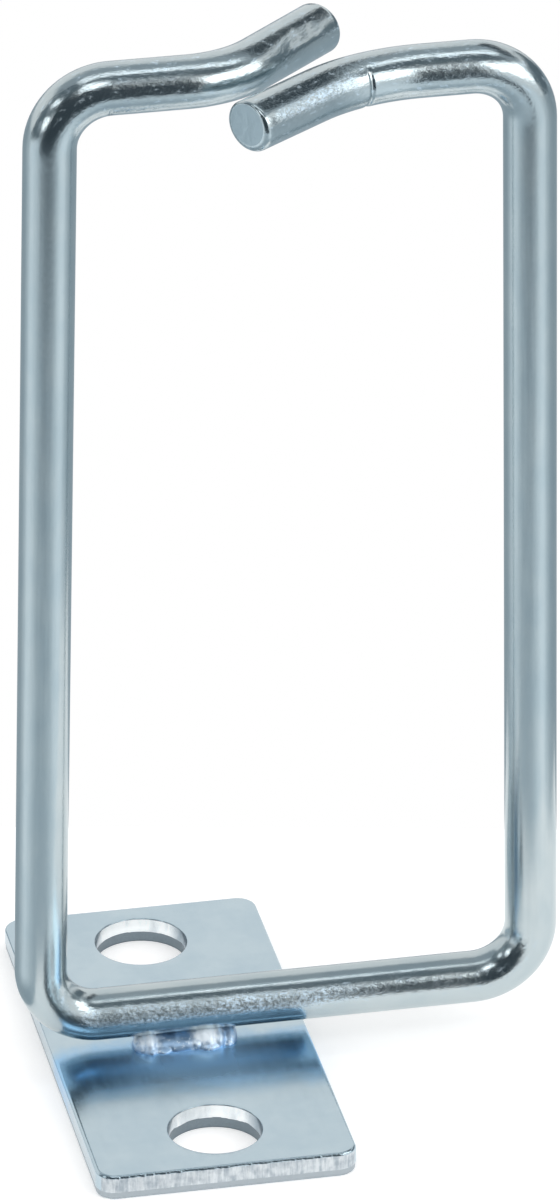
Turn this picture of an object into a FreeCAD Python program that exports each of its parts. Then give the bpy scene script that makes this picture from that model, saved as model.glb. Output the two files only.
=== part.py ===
import FreeCAD, Part
import Sketcher
import math
import os

V = FreeCAD.Vector
doc = FreeCAD.newDocument("cable_ring")

# Driving sizes in millimetres and degrees
SIZES = [
    ("rod_diameter", 4.0),
    ("bend_radius", 4.5),
    ("left_post_distance", 10.8),
    ("right_post_distance", 27.6),
    ("post_lean", 0.95),
    ("left_arm_rise", 77.8),
    ("right_arm_rise", 77.1),
    ("left_end_start", 3.75),
    ("left_end_angle", 42.0),
    ("left_end_length", 11.4),
    ("left_end_radius", 8.3),
    ("right_end_start", 13.4),
    ("right_end_angle", 36.0),
    ("right_end_length", 12.0),
    ("right_end_radius", 14.7),
    ("end_round", 0.4),
    ("ring_offset", 0.6),
    ("bar_gap", 0.8),
    ("plate_width", 20.0),
    ("plate_length", 40.0),
    ("plate_thickness", 2.0),
    ("plate_corner", 1.5),
    ("plate_edge_round", 0.3),
    ("hole_diameter", 7.0),
    ("hole_inset", 5.5),
    ("hole_edge_bevel", 0.2),
    ("weld_length", 8.4),
    ("weld_width", 5.2),
    ("weld_height", 2.6),
    ("weld_shift", 0.3),
]
sheet = doc.addObject("Spreadsheet::Sheet", "Sizes")
for row, (alias, value) in enumerate(SIZES, start=1):
    sheet.set("A%d" % row, alias.replace("_", " "))
    sheet.set("B%d" % row, str(value))
    sheet.setAlias("B%d" % row, alias)
doc.recompute()


def size(alias):
    return float(sheet.get(alias))


def plane(body, role):
    for feature in body.Origin.OriginFeatures:
        if feature.Role == role:
            return feature
    raise RuntimeError("no plane " + role)


def sketch_on(body, role, name):
    sketch = body.newObject("Sketcher::SketchObject", name)
    sketch.AttachmentSupport = [(plane(body, role), "")]
    sketch.MapMode = "FlatFace"
    return sketch


def drive(sketch, name, expression, *constraint):
    index = sketch.addConstraint(Sketcher.Constraint(*constraint))
    sketch.renameConstraint(index, name)
    sketch.setExpression("Constraints." + name, expression)


def hold(sketch, *constraint):
    sketch.addConstraint(Sketcher.Constraint(*constraint))


def line(sketch, start, end):
    return sketch.addGeometry(Part.LineSegment(V(*start, 0), V(*end, 0)), False)


def arc(sketch, centre, radius, start_degrees, end_degrees):
    circle = Part.Circle(V(*centre, 0), V(0, 0, 1), radius)
    return sketch.addGeometry(Part.ArcOfCircle(circle, math.radians(start_degrees), math.radians(end_degrees)), False)


# Sketch numbering: the horizontal axis, the vertical axis, and the start, end and centre of a curve
AXIS_H, AXIS_V = range(-1, -3, -1)
START, END, CENTRE = range(1, 4)

# Where the straight arms stop: the tangent points of the two end bends
LEFT_STOP = "Sizes.left_end_start - Sizes.left_end_radius * tan(Sizes.left_end_angle / 2)"
RIGHT_STOP = "Sizes.right_end_start + Sizes.right_end_radius * tan(Sizes.right_end_angle / 2)"
left_reach = size("left_end_radius") * math.tan(math.radians(size("left_end_angle") / 2))
right_reach = size("right_end_radius") * math.tan(math.radians(size("right_end_angle") / 2))
left_stop = size("left_end_start") - left_reach
right_stop = size("right_end_start") + right_reach

# Wire ring: its own zero lies on the centreline of the bottom bar
ring = doc.addObject("PartDesign::Body", "wire_ring")
ring.Label = "wire_ring"
ring.setExpression("Placement.Base.y", "-Sizes.ring_offset")
ring.setExpression("Placement.Base.z", "Sizes.plate_thickness + Sizes.bar_gap + Sizes.rod_diameter / 2")

# Centreline in the upright plane: left arm, left post, bar, right post, right arm
lean_degrees = size("post_lean")
lean = math.radians(lean_degrees)
bend = size("bend_radius")
rise_left = size("left_arm_rise")
rise_right = size("right_arm_rise")
foot_left = -size("left_post_distance")
foot_right = size("right_post_distance")
head_left = foot_left + rise_left * math.tan(lean)
head_right = foot_right - rise_right * math.tan(lean)
cut_low = bend / math.tan((math.pi / 2 - lean) / 2)
cut_high = bend / math.tan((math.pi / 2 + lean) / 2)
left_low = (foot_left + cut_low * math.sin(lean), cut_low * math.cos(lean))
left_high = (head_left - cut_high * math.sin(lean), rise_left - cut_high * math.cos(lean))
right_low = (foot_right - cut_low * math.sin(lean), cut_low * math.cos(lean))
right_high = (head_right + cut_high * math.sin(lean), rise_right - cut_high * math.cos(lean))

path = sketch_on(ring, "XZ_Plane", "ring_centreline")
left_arm = line(path, (left_stop, rise_left), (head_left + cut_high, rise_left))
bend_tl = arc(path, (head_left + cut_high, rise_left - bend), bend, 90, 180 - lean_degrees)
left_post = line(path, left_low, left_high)
bend_bl = arc(path, (foot_left + cut_low, bend), bend, 180 - lean_degrees, 270)
bar = line(path, (foot_left + cut_low, 0), (foot_right - cut_low, 0))
bend_br = arc(path, (foot_right - cut_low, bend), bend, 270, 360 + lean_degrees)
right_post = line(path, right_low, right_high)
bend_tr = arc(path, (head_right - cut_high, rise_right - bend), bend, lean_degrees, 90)
right_arm = line(path, (head_right - cut_high, rise_right), (right_stop, rise_right))
left_foot = path.addGeometry(Part.Point(V(foot_left, 0, 0)), True)
right_foot = path.addGeometry(Part.Point(V(foot_right, 0, 0)), True)
hold(path, "Tangent", left_arm, END, bend_tl, START)
hold(path, "Tangent", bend_tl, END, left_post, END)
hold(path, "Tangent", left_post, START, bend_bl, START)
hold(path, "Tangent", bend_bl, END, bar, START)
hold(path, "Tangent", bar, END, bend_br, START)
hold(path, "Tangent", bend_br, END, right_post, START)
hold(path, "Tangent", right_post, END, bend_tr, START)
hold(path, "Tangent", bend_tr, END, right_arm, START)
hold(path, "Horizontal", left_arm)
hold(path, "Horizontal", bar)
hold(path, "Horizontal", right_arm)
hold(path, "PointOnObject", bar, START, AXIS_H)
hold(path, "Equal", bend_tl, bend_bl)
hold(path, "Equal", bend_tl, bend_br)
hold(path, "Equal", bend_tl, bend_tr)
hold(path, "PointOnObject", left_foot, START, AXIS_H)
hold(path, "PointOnObject", left_foot, START, left_post)
hold(path, "PointOnObject", right_foot, START, AXIS_H)
hold(path, "PointOnObject", right_foot, START, right_post)
drive(path, "bend", "Sizes.bend_radius", "Radius", bend_tl, bend)
drive(path, "foot_left", "Sizes.left_post_distance", "DistanceX", left_foot, START, AXIS_H, START, -foot_left)
drive(path, "foot_right", "Sizes.right_post_distance", "DistanceX", AXIS_H, START, right_foot, START, foot_right)
drive(path, "lean_left", "90 - Sizes.post_lean", "Angle", left_post, math.pi / 2 - lean)
drive(path, "lean_right", "90 + Sizes.post_lean", "Angle", right_post, math.pi / 2 + lean)
drive(path, "rise_left", "Sizes.left_arm_rise", "DistanceY", AXIS_H, START, left_arm, START, rise_left)
drive(path, "rise_right", "Sizes.right_arm_rise", "DistanceY", AXIS_H, START, right_arm, END, rise_right)
drive(path, "stop_left", "Sizes.left_post_distance + " + LEFT_STOP,
      "DistanceX", left_foot, START, left_arm, START, left_stop - foot_left)
drive(path, "stop_right", "Sizes.right_post_distance - (" + RIGHT_STOP + ")",
      "DistanceX", right_arm, END, right_foot, START, foot_right - right_stop)


# Round section of the rod where an arm stops
def section(name, stop, rise_name):
    sketch = sketch_on(ring, "YZ_Plane", name)
    sketch.setExpression("AttachmentOffset.Base.z", stop)
    circle = sketch.addGeometry(Part.Circle(V(0, size(rise_name), 0), V(0, 0, 1), size("rod_diameter") / 2), False)
    hold(sketch, "PointOnObject", circle, CENTRE, AXIS_V)
    drive(sketch, "rise", "Sizes." + rise_name, "DistanceY", AXIS_H, START, circle, CENTRE, size(rise_name))
    drive(sketch, "across", "Sizes.rod_diameter", "Diameter", circle, size("rod_diameter"))
    return sketch


def sweep(name, profile, spine):
    doc.recompute()
    pipe = ring.newObject("PartDesign::AdditivePipe", name)
    pipe.Profile = profile
    pipe.Spine = (spine, [""])
    doc.recompute()
    return pipe


sweep("ring_loop", section("loop_section", LEFT_STOP, "left_arm_rise"), path)

# Left end, bent to the back in the level plane of the left arm
left_angle = size("left_end_angle")
left_tail = size("left_end_length") - left_reach
left_radius = size("left_end_radius")
end_path = sketch_on(ring, "XY_Plane", "left_end_centreline")
end_path.setExpression("AttachmentOffset.Base.x", LEFT_STOP)
end_path.setExpression("AttachmentOffset.Base.z", "Sizes.left_arm_rise")
turn = arc(end_path, (0, left_radius), left_radius, 270, 270 + left_angle)
turn_end = (left_radius * math.sin(math.radians(left_angle)), left_radius * (1 - math.cos(math.radians(left_angle))))
left_tip = (turn_end[0] + left_tail * math.cos(math.radians(left_angle)),
            turn_end[1] + left_tail * math.sin(math.radians(left_angle)))
tail = line(end_path, turn_end, left_tip)
hold(end_path, "Coincident", turn, START, AXIS_H, START)
hold(end_path, "PointOnObject", turn, CENTRE, AXIS_V)
hold(end_path, "Tangent", turn, END, tail, START)
drive(end_path, "turn", "Sizes.left_end_radius", "Radius", turn, left_radius)
drive(end_path, "angle", "Sizes.left_end_angle", "Angle", tail, math.radians(left_angle))
drive(end_path, "tail", "Sizes.left_end_length - Sizes.left_end_radius * tan(Sizes.left_end_angle / 2)",
      "Distance", tail, left_tail)
sweep("left_end", section("left_end_section", LEFT_STOP, "left_arm_rise"), end_path)

# Right end, bent to the front in the level plane of the right arm
right_angle = size("right_end_angle")
right_tail = size("right_end_length") - right_reach
right_radius = size("right_end_radius")
end_path = sketch_on(ring, "XY_Plane", "right_end_centreline")
end_path.setExpression("AttachmentOffset.Base.x", RIGHT_STOP)
end_path.setExpression("AttachmentOffset.Base.z", "Sizes.right_arm_rise")
turn = arc(end_path, (0, -right_radius), right_radius, 90, 90 + right_angle)
turn_end = (-right_radius * math.sin(math.radians(right_angle)),
            -right_radius * (1 - math.cos(math.radians(right_angle))))
right_tip = (turn_end[0] - right_tail * math.cos(math.radians(right_angle)),
             turn_end[1] - right_tail * math.sin(math.radians(right_angle)))
tail = line(end_path, right_tip, turn_end)
hold(end_path, "Coincident", turn, START, AXIS_H, START)
hold(end_path, "PointOnObject", turn, CENTRE, AXIS_V)
hold(end_path, "Tangent", turn, END, tail, END)
drive(end_path, "turn", "Sizes.right_end_radius", "Radius", turn, right_radius)
drive(end_path, "angle", "Sizes.right_end_angle", "Angle", tail, math.radians(right_angle))
drive(end_path, "tail", "Sizes.right_end_length - Sizes.right_end_radius * tan(Sizes.right_end_angle / 2)",
      "Distance", tail, right_tail)
whole_rod = sweep("right_end", section("right_end_section", RIGHT_STOP, "right_arm_rise"), end_path)

# Rims of the two cut ends, rounded
tips = [V(left_stop + left_tip[0], left_tip[1], rise_left), V(right_stop + right_tip[0], right_tip[1], rise_right)]
near_tip = 0.01 * size("rod_diameter")
rims = []
for number, edge in enumerate(whole_rod.Shape.Edges, start=1):
    middle = edge.BoundBox.Center
    if any(middle.distanceToPoint(tip) < near_tip for tip in tips):
        rims.append("Edge%d" % number)
ends = ring.newObject("PartDesign::Fillet", "rounded_ends")
ends.Base = (whole_rod, rims)
ends.setExpression("Radius", "Sizes.end_round")
doc.recompute()

# Base plate: a rounded rectangle with two punched holes, its zero midway between the holes on the underside
plate = doc.addObject("PartDesign::Body", "base_plate")
plate.Label = "base_plate"
half_width = size("plate_width") / 2
half_length = size("plate_length") / 2
corner = size("plate_corner")
outline = sketch_on(plate, "XY_Plane", "plate_outline")
front = line(outline, (-half_width + corner, -half_length), (half_width - corner, -half_length))
corner_fr = arc(outline, (half_width - corner, -half_length + corner), corner, 270, 360)
right = line(outline, (half_width, -half_length + corner), (half_width, half_length - corner))
corner_br = arc(outline, (half_width - corner, half_length - corner), corner, 0, 90)
back = line(outline, (half_width - corner, half_length), (-half_width + corner, half_length))
corner_bl = arc(outline, (-half_width + corner, half_length - corner), corner, 90, 180)
left = line(outline, (-half_width, half_length - corner), (-half_width, -half_length + corner))
corner_fl = arc(outline, (-half_width + corner, -half_length + corner), corner, 180, 270)
loop = [front, corner_fr, right, corner_br, back, corner_bl, left, corner_fl]
for index, curve in enumerate(loop):
    hold(outline, "Tangent", curve, END, loop[(index + 1) % len(loop)], START)
hold(outline, "Horizontal", front)
hold(outline, "Vertical", right)
hold(outline, "Horizontal", back)
hold(outline, "Vertical", left)
hold(outline, "Equal", corner_fr, corner_br)
hold(outline, "Equal", corner_fr, corner_bl)
hold(outline, "Equal", corner_fr, corner_fl)
hold(outline, "Symmetric", front, START, back, START, AXIS_H, START)
drive(outline, "corner", "Sizes.plate_corner", "Radius", corner_fr, corner)
drive(outline, "width", "Sizes.plate_width", "DistanceX", left, END, right, START, 2 * half_width)
drive(outline, "length", "Sizes.plate_length", "DistanceY", front, END, back, START, 2 * half_length)
doc.recompute()
slab = plate.newObject("PartDesign::Pad", "plate_slab")
slab.Profile = outline
slab.setExpression("Length", "Sizes.plate_thickness")
doc.recompute()

hole_pair = sketch_on(plate, "XY_Plane", "hole_pair")
hole_radius = size("hole_diameter") / 2
half_spacing = half_length - size("hole_inset")
back_hole = hole_pair.addGeometry(Part.Circle(V(0, half_spacing, 0), V(0, 0, 1), hole_radius), False)
front_hole = hole_pair.addGeometry(Part.Circle(V(0, -half_spacing, 0), V(0, 0, 1), hole_radius), False)
hold(hole_pair, "Equal", back_hole, front_hole)
hold(hole_pair, "Symmetric", back_hole, CENTRE, front_hole, CENTRE, AXIS_H, START)
hold(hole_pair, "PointOnObject", back_hole, CENTRE, AXIS_V)
drive(hole_pair, "across", "Sizes.hole_diameter", "Diameter", back_hole, 2 * hole_radius)
drive(hole_pair, "spacing", "Sizes.plate_length - 2 * Sizes.hole_inset",
      "DistanceY", front_hole, CENTRE, back_hole, CENTRE, 2 * half_spacing)
doc.recompute()
punched = plate.newObject("PartDesign::Pocket", "punched_holes")
punched.Profile = hole_pair
punched.Type = "ThroughAll"
punched.Midplane = True
doc.recompute()


# Edges of the top face, either the rims of the holes or the outer loop
def top_edges(shape, of_holes):
    found = []
    for number, edge in enumerate(shape.Edges, start=1):
        box = edge.BoundBox
        on_top = box.ZMin > 0.999 * size("plate_thickness")
        rim = math.hypot(box.Center.x, abs(box.Center.y) - half_spacing) < 0.1 * hole_radius
        if on_top and rim == of_holes:
            found.append("Edge%d" % number)
    return found


bevelled_rims = plate.newObject("PartDesign::Chamfer", "bevelled_hole_rims")
bevelled_rims.Base = (punched, top_edges(punched.Shape, True))
bevelled_rims.setExpression("Size", "Sizes.hole_edge_bevel")
doc.recompute()
rolled_edge = plate.newObject("PartDesign::Fillet", "rolled_top_edge")
rolled_edge.Base = (bevelled_rims, top_edges(bevelled_rims.Shape, False))
rolled_edge.setExpression("Radius", "Sizes.plate_edge_round")
doc.recompute()

# Weld bead: a low root and two lumps under the bar, cut to the rod's underside and to the plate's top
TOP = "Sizes.plate_thickness"
BAR_LEVEL = "Sizes.plate_thickness + Sizes.bar_gap + Sizes.rod_diameter / 2"


def lump(name, middle, half_length, half_width, half_height, lift):
    solid = doc.addObject("Part::Ellipsoid", name)
    solid.setExpression("Radius1", half_height)
    solid.setExpression("Radius2", half_length)
    solid.setExpression("Radius3", half_width)
    solid.setExpression("Placement.Base.x", middle)
    solid.setExpression("Placement.Base.y", "-Sizes.ring_offset")
    solid.setExpression("Placement.Base.z", TOP + " + " + lift)
    return solid


root = lump("weld_root", "Sizes.weld_shift", "Sizes.weld_length / 2", "Sizes.weld_width * 0.38",
            "Sizes.weld_height * 0.6", "0")
left_lump = lump("weld_left_lump", "Sizes.weld_shift - Sizes.weld_length * 0.32", "Sizes.weld_length * 0.17",
                 "Sizes.weld_width * 0.45", "Sizes.weld_height * 0.74", "Sizes.weld_height * 0.16")
right_lump = lump("weld_right_lump", "Sizes.weld_shift + Sizes.weld_length * 0.22", "Sizes.weld_length * 0.25",
                  "Sizes.weld_width * 0.5", "Sizes.weld_height * 0.82", "Sizes.weld_height * 0.18")
lumps = doc.addObject("Part::MultiFuse", "weld_lumps")
lumps.Shapes = [root, left_lump, right_lump]

bar_space = doc.addObject("Part::Cylinder", "bar_space")
bar_space.setExpression("Radius", "Sizes.rod_diameter / 2")
bar_space.setExpression("Height", "Sizes.weld_length * 2")
bar_space.Placement = FreeCAD.Placement(V(0, 0, 0), FreeCAD.Rotation(V(0, 1, 0), 90))
bar_space.setExpression("Placement.Base.x", "Sizes.weld_shift - Sizes.weld_length")
bar_space.setExpression("Placement.Base.y", "-Sizes.ring_offset")
bar_space.setExpression("Placement.Base.z", BAR_LEVEL)

plate_space = doc.addObject("Part::Box", "plate_space")
plate_space.setExpression("Length", "Sizes.weld_length * 2")
plate_space.setExpression("Width", "Sizes.weld_width * 2")
plate_space.setExpression("Height", "Sizes.weld_height * 2")
plate_space.setExpression("Placement.Base.x", "Sizes.weld_shift - Sizes.weld_length")
plate_space.setExpression("Placement.Base.y", "-Sizes.ring_offset - Sizes.weld_width")
plate_space.setExpression("Placement.Base.z", TOP + " - Sizes.weld_height * 2")

taken = doc.addObject("Part::MultiFuse", "weld_taken_space")
taken.Shapes = [bar_space, plate_space]
bead = doc.addObject("Part::Cut", "weld_bead")
bead.Label = "weld_bead"
bead.Base = lumps
bead.Tool = taken
doc.recompute()

# Every feature has to be sound before the pieces are written
for item in doc.Objects:
    if "Invalid" in item.State or "Error" in item.State:
        raise RuntimeError("feature failed: " + item.Name)
pieces = [ring, plate, bead]
for piece in pieces:
    if piece.Shape.isNull() or not piece.Shape.isValid() or len(piece.Shape.Solids) != 1:
        raise RuntimeError("bad shape: " + piece.Label)

os.makedirs("parts", exist_ok=True)
for piece in pieces:
    piece.Shape.exportStep("parts/" + piece.Label + ".step")
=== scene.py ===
import math
from collections import namedtuple

import bmesh
import bpy
import numpy as np
from mathutils import Matrix, Vector, noise


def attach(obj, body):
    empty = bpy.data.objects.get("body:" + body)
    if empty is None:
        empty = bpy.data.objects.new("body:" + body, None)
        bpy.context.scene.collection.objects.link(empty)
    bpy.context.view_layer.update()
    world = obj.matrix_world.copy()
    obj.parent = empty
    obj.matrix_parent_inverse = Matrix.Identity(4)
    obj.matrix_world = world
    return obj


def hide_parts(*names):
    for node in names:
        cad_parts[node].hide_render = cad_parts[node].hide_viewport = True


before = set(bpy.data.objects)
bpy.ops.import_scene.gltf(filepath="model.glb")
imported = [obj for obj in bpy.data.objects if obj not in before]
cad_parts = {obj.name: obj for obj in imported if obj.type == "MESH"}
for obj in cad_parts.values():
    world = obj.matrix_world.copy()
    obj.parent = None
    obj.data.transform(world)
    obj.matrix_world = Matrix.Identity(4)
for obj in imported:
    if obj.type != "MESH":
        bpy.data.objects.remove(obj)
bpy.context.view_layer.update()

MM = 0.001
TINY = 1e-6
WHITE = (1.0, 1.0, 1.0)

# Sizes of the ring and the plate, in millimetres and radians; the rod is a hair thinner than its solid
ROD_RADIUS = 1.994
BEND_RADIUS = 4.5
LEFT_POST = -10.8
RIGHT_POST = 27.6
POST_LEAN = math.radians(0.95)
LEFT_RISE = 77.8
RIGHT_RISE = 77.1
LEFT_END_START = 3.75
LEFT_END_ANGLE = math.radians(42.0)
LEFT_END_LENGTH = 11.4
LEFT_END_RADIUS = 8.3
RIGHT_END_START = 13.4
RIGHT_END_ANGLE = math.radians(36.0)
RIGHT_END_LENGTH = 12.0
RIGHT_END_RADIUS = 14.7
END_ROUND = 0.4
RING_Y = -0.6
BAR_Z = 4.8
PLATE_HALF_WIDTH = 10.0
PLATE_HALF_LENGTH = 20.0
PLATE_TOP = 2.0
PLATE_CORNER = 1.5
PLATE_EDGE_ROUND = 0.3
HOLE_RADIUS = 3.5
HOLE_Y = 14.5

# Step from one noise seed to the next, in each direction
SEED_STRIDE = (17.3, 5.1, 11.7)


# Small helpers
def smooth_step(low, high, value):
    """Nothing below low, one above high, and an even slope between them."""
    share = np.clip((value - low) / (high - low), 0.0, 1.0)
    return share * share * (3.0 - 2.0 * share)


def noise_at(points, scale, seed):
    """Smooth noise between about -1 and 1 at each point."""
    offset = Vector([seed * stride for stride in SEED_STRIDE])
    return np.array([noise.noise(Vector(point) * scale + offset) for point in points])


def link_object(name, data):
    obj = bpy.data.objects.new(name, data)
    bpy.context.scene.collection.objects.link(obj)
    return obj


def link_mesh(name, points_mm, faces, smooth=True):
    mesh = bpy.data.meshes.new(name)
    mesh.from_pydata((np.asarray(points_mm, float) * MM).tolist(), [], faces)
    mesh.validate()
    mesh.polygons.foreach_set("use_smooth", [smooth] * len(mesh.polygons))
    mesh.update()
    return link_object(name, mesh)


# Centreline of the rod
def rotated(vector, axis, angle):
    return np.array(Matrix.Rotation(angle, 3, Vector(axis)) @ Vector(vector))


class Tracer:
    """Walks along the rod and keeps a twist-free frame at every step."""

    def __init__(self, start, along, side, step):
        self.at = np.array(start, float)
        self.along = np.array(along, float)
        self.side = np.array(side, float)
        self.step = step
        self.length = 0.0
        self.rows = []

    def note(self):
        self.rows.append((self.at.copy(), self.along.copy(), self.side.copy(), self.length))

    def straight(self, distance):
        count = max(1, round(distance / self.step))
        for _ in range(count):
            self.note()
            self.at = self.at + self.along * (distance / count)
            self.length += distance / count

    def turn(self, radius, angle, axis):
        count = max(2, round(radius * angle / self.step))
        part = angle / count
        for _ in range(count):
            self.note()
            inward = np.cross(axis, self.along)
            centre = self.at + inward * radius
            self.at = centre + rotated(self.at - centre, axis, part)
            self.along = rotated(self.along, axis, part)
            self.side = rotated(self.side, axis, part)
            self.length += radius * part


def rod_path(step):
    """Rows of point, direction, side and running length, from the left tip round to the right tip."""
    square = math.pi / 2
    head_left = LEFT_POST + LEFT_RISE * math.tan(POST_LEAN)
    head_right = RIGHT_POST - RIGHT_RISE * math.tan(POST_LEAN)
    cut_low = BEND_RADIUS / math.tan((square - POST_LEAN) / 2)
    cut_high = BEND_RADIUS / math.tan((square + POST_LEAN) / 2)
    left_reach = LEFT_END_RADIUS * math.tan(LEFT_END_ANGLE / 2)
    right_reach = RIGHT_END_RADIUS * math.tan(RIGHT_END_ANGLE / 2)
    out = np.array((math.cos(LEFT_END_ANGLE), math.sin(LEFT_END_ANGLE), 0.0))
    tip = np.array((LEFT_END_START, RING_Y, BAR_Z + LEFT_RISE)) + out * LEFT_END_LENGTH
    up, down, across = (0, 0, 1), (0, 0, -1), (0, -1, 0)
    walk = Tracer(tip, -out, up, step)
    walk.straight(LEFT_END_LENGTH - left_reach)
    walk.turn(LEFT_END_RADIUS, LEFT_END_ANGLE, down)
    walk.straight(LEFT_END_START - left_reach - head_left - cut_high)
    walk.turn(BEND_RADIUS, square - POST_LEAN, across)
    walk.straight(LEFT_RISE / math.cos(POST_LEAN) - cut_low - cut_high)
    walk.turn(BEND_RADIUS, square + POST_LEAN, across)
    walk.straight(RIGHT_POST - LEFT_POST - 2 * cut_low)
    walk.turn(BEND_RADIUS, square + POST_LEAN, across)
    walk.straight(RIGHT_RISE / math.cos(POST_LEAN) - cut_low - cut_high)
    walk.turn(BEND_RADIUS, square - POST_LEAN, across)
    walk.straight(head_right - cut_high - RIGHT_END_START - right_reach)
    walk.turn(RIGHT_END_RADIUS, RIGHT_END_ANGLE, up)
    walk.straight(RIGHT_END_LENGTH - right_reach)
    walk.note()
    return walk.rows


# Rod: a round profile swept along the centreline, with worn cut ends and the bending tool's marks
ROD_SIDES = 72
ROD_STEP = 0.35
ROD_ANGLES = np.linspace(0, 2 * math.pi, ROD_SIDES, endpoint=False)
CUT_END = 1

# Cut ends: rings on the flat and round the rim, then the wear of each rim as a share of the end round
# together with the side that is worn most
CAP_RADII = (0.06, 0.4, 0.75, 1.0)
CAP_RINGS = len(CAP_RADII) + 1
CAP_CLEAR = 0.25
RIM_TURNS = np.linspace(0, math.pi / 2, 8)
LEFT_WEAR = (1.45, math.radians(40.0))
RIGHT_WEAR = (1.0, math.radians(200.0))
WEAR_SWING = 0.45

# Shear marks on the cut faces: noise stretch, scale and seed, then depth, shift, limit and fade to the rim
PIT_STRETCH = (0.7, 2.2)
PIT_SCALE = 1.1
PIT_SEED = 6
PIT_DEPTH = 0.05
PIT_SHIFT = 0.4
PIT_LIMIT = 0.08
PIT_FADE = (0.9, 1.5)

# Marks of the bending tool: place from the nearer tip, depth and half-width, then the middle and the reach
# in degrees of the arc round the rod
ToolMark = namedtuple("ToolMark", "place depth half middle reach")
RIGHT_CREASE = ToolMark(place=11.5, depth=0.13, half=0.2, middle=235.0, reach=100.0)
LEFT_MARK = ToolMark(place=19.5, depth=0.003, half=0.3, middle=250.0, reach=110.0)
MARK_CLEAR = 4.5
MARK_SPAN = 4.0
MARK_RINGS = 25
ARC_CORE = 0.45

# Flat pressed on the left end: start and end from the tip with their slopes, and its facing and half-width
FLAT_START = 1.2
FLAT_END = 10.5
FLAT_RISE = 1.8
FLAT_FALL = 6.0
FLAT_FACING = math.radians(312.0)
FLAT_HALF = math.radians(20.0)
FLAT_EDGE = 55.0
FLAT_FADE = (math.radians(2.0), math.radians(9.0))
LEAST_COSINE = 0.3
# Unevenness of the flat's width and facing: amount, scale along the rod and row of the noise
FLAT_WAVER = (0.3, 0.75, 3.1)
FLAT_SWAY = (0.14, 0.6, 9.4)

# Roughness of the plating: posts, arms, bar, front of the bar, and the crust beside the weld
POST_ROUGH = 0.07
ARM_ROUGH = 0.38
BAR_ROUGH = 0.12
BAR_FRONT_ROUGH = 0.24
CRUST_ROUGH = 0.61
BAR_FRONT = 250.0
BAR_FRONT_FADE = (12.0, 34.0)
CRUST_START = (-8.8, -6.6)
CRUST_STOP = (6.0, 20.0)
BAR_FADE = (BAR_Z + 3.0, BAR_Z + 6.0)
ARM_FADE = (BAR_Z + 71.0, BAR_Z + 77.5)

# Torn plating along the right end, by distance from the tip and by facing
TORN_ROUGH = 0.5
TORN_START = (0.8, 2.0)
TORN_STOP = (9.5, 11.3)
TORN_FACING = 300.0
TORN_FADE = (6.0, 24.0)


def arc_share(middle, reach):
    """One at the middle of an arc round the rod, falling to nothing at its reach."""
    gap = np.abs((np.degrees(ROD_ANGLES) - middle + 180.0) % 360.0 - 180.0)
    return 1.0 - smooth_step(ARC_CORE * reach, reach, gap)


def uneven_along(length, amount, scale, row):
    """Smooth unevenness at a place along the rod."""
    return amount * noise.noise(Vector((length * scale, row, 0.0)))


def flattened(radius, length):
    """Radius round the rod with the pressed flat taken off it."""
    window = smooth_step(FLAT_START, FLAT_START + FLAT_RISE, length)
    window = window * (1.0 - smooth_step(FLAT_END - FLAT_FALL, FLAT_END, length))
    half = FLAT_HALF * float(window) * (1.0 + uneven_along(length, *FLAT_WAVER))
    off = ROD_ANGLES - FLAT_FACING - uneven_along(length, *FLAT_SWAY)
    off = (off + math.pi) % (2.0 * math.pi) - math.pi
    chord = ROD_RADIUS * math.cos(half) / np.maximum(np.cos(off), LEAST_COSINE)
    softened = -np.log(np.exp(-FLAT_EDGE * radius) + np.exp(-FLAT_EDGE * chord)) / FLAT_EDGE
    return radius + (softened - radius) * smooth_step(*FLAT_FADE, half)


def end_rings(tip, inward, wear):
    """Rings of one cut end from its middle to its rim, as running length and radius at each angle."""
    mean, side = wear
    worn = END_ROUND * (mean + WEAR_SWING * np.cos(ROD_ANGLES - side))
    rings = [(tip, np.full(ROD_SIDES, radius)) for radius in CAP_RADII]
    for turn in RIM_TURNS:
        depth = worn * (1 - math.cos(turn))
        rings.append((tip + inward * depth, ROD_RADIUS - worn + worn * math.sin(turn)))
    return rings


def side_rings(lengths, total, marks):
    """Rings between the cut ends, closer together at the tool marks."""
    start, stop = END_ROUND + CAP_CLEAR, total - END_ROUND - CAP_CLEAR
    stations = [length for length in lengths if start < length < stop]
    for mark in marks:
        stations = [length for length in stations if abs(length - mark.place) > MARK_CLEAR * mark.half]
        stations += list(mark.place + mark.half * np.linspace(-MARK_SPAN, MARK_SPAN, MARK_RINGS))
    stations.sort()
    rings = []
    for length in stations:
        radius = np.full(ROD_SIDES, ROD_RADIUS)
        for mark in marks:
            dip = mark.depth * math.exp(-((length - mark.place) / mark.half) ** 2)
            radius = radius - dip * arc_share(mark.middle, mark.reach)
        rings.append((length, flattened(radius, length)))
    return rings


def plating_roughness(points, straightened, total):
    """How rough the plating is: most beside the weld, some on the arms, least on the posts."""
    facing = np.degrees(np.arctan2(straightened[:, 1], straightened[:, 0])) % 360.0
    front = 1.0 - smooth_step(*BAR_FRONT_FADE, np.abs(facing - BAR_FRONT))
    by_weld = smooth_step(*CRUST_START, points[:, 0]) * (1.0 - smooth_step(*CRUST_STOP, points[:, 0]))
    low = 1.0 - smooth_step(*BAR_FADE, points[:, 2])
    high = smooth_step(*ARM_FADE, points[:, 2])
    bar = BAR_ROUGH + front * (BAR_FRONT_ROUGH + CRUST_ROUGH * by_weld)
    from_tip = total - straightened[:, 2]
    on_end = smooth_step(*TORN_START, from_tip) * (1.0 - smooth_step(*TORN_STOP, from_tip))
    torn = TORN_ROUGH * on_end * (1.0 - smooth_step(*TORN_FADE, np.abs(facing - TORN_FACING)))
    return POST_ROUGH + ARM_ROUGH * high + low * bar + torn


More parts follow.
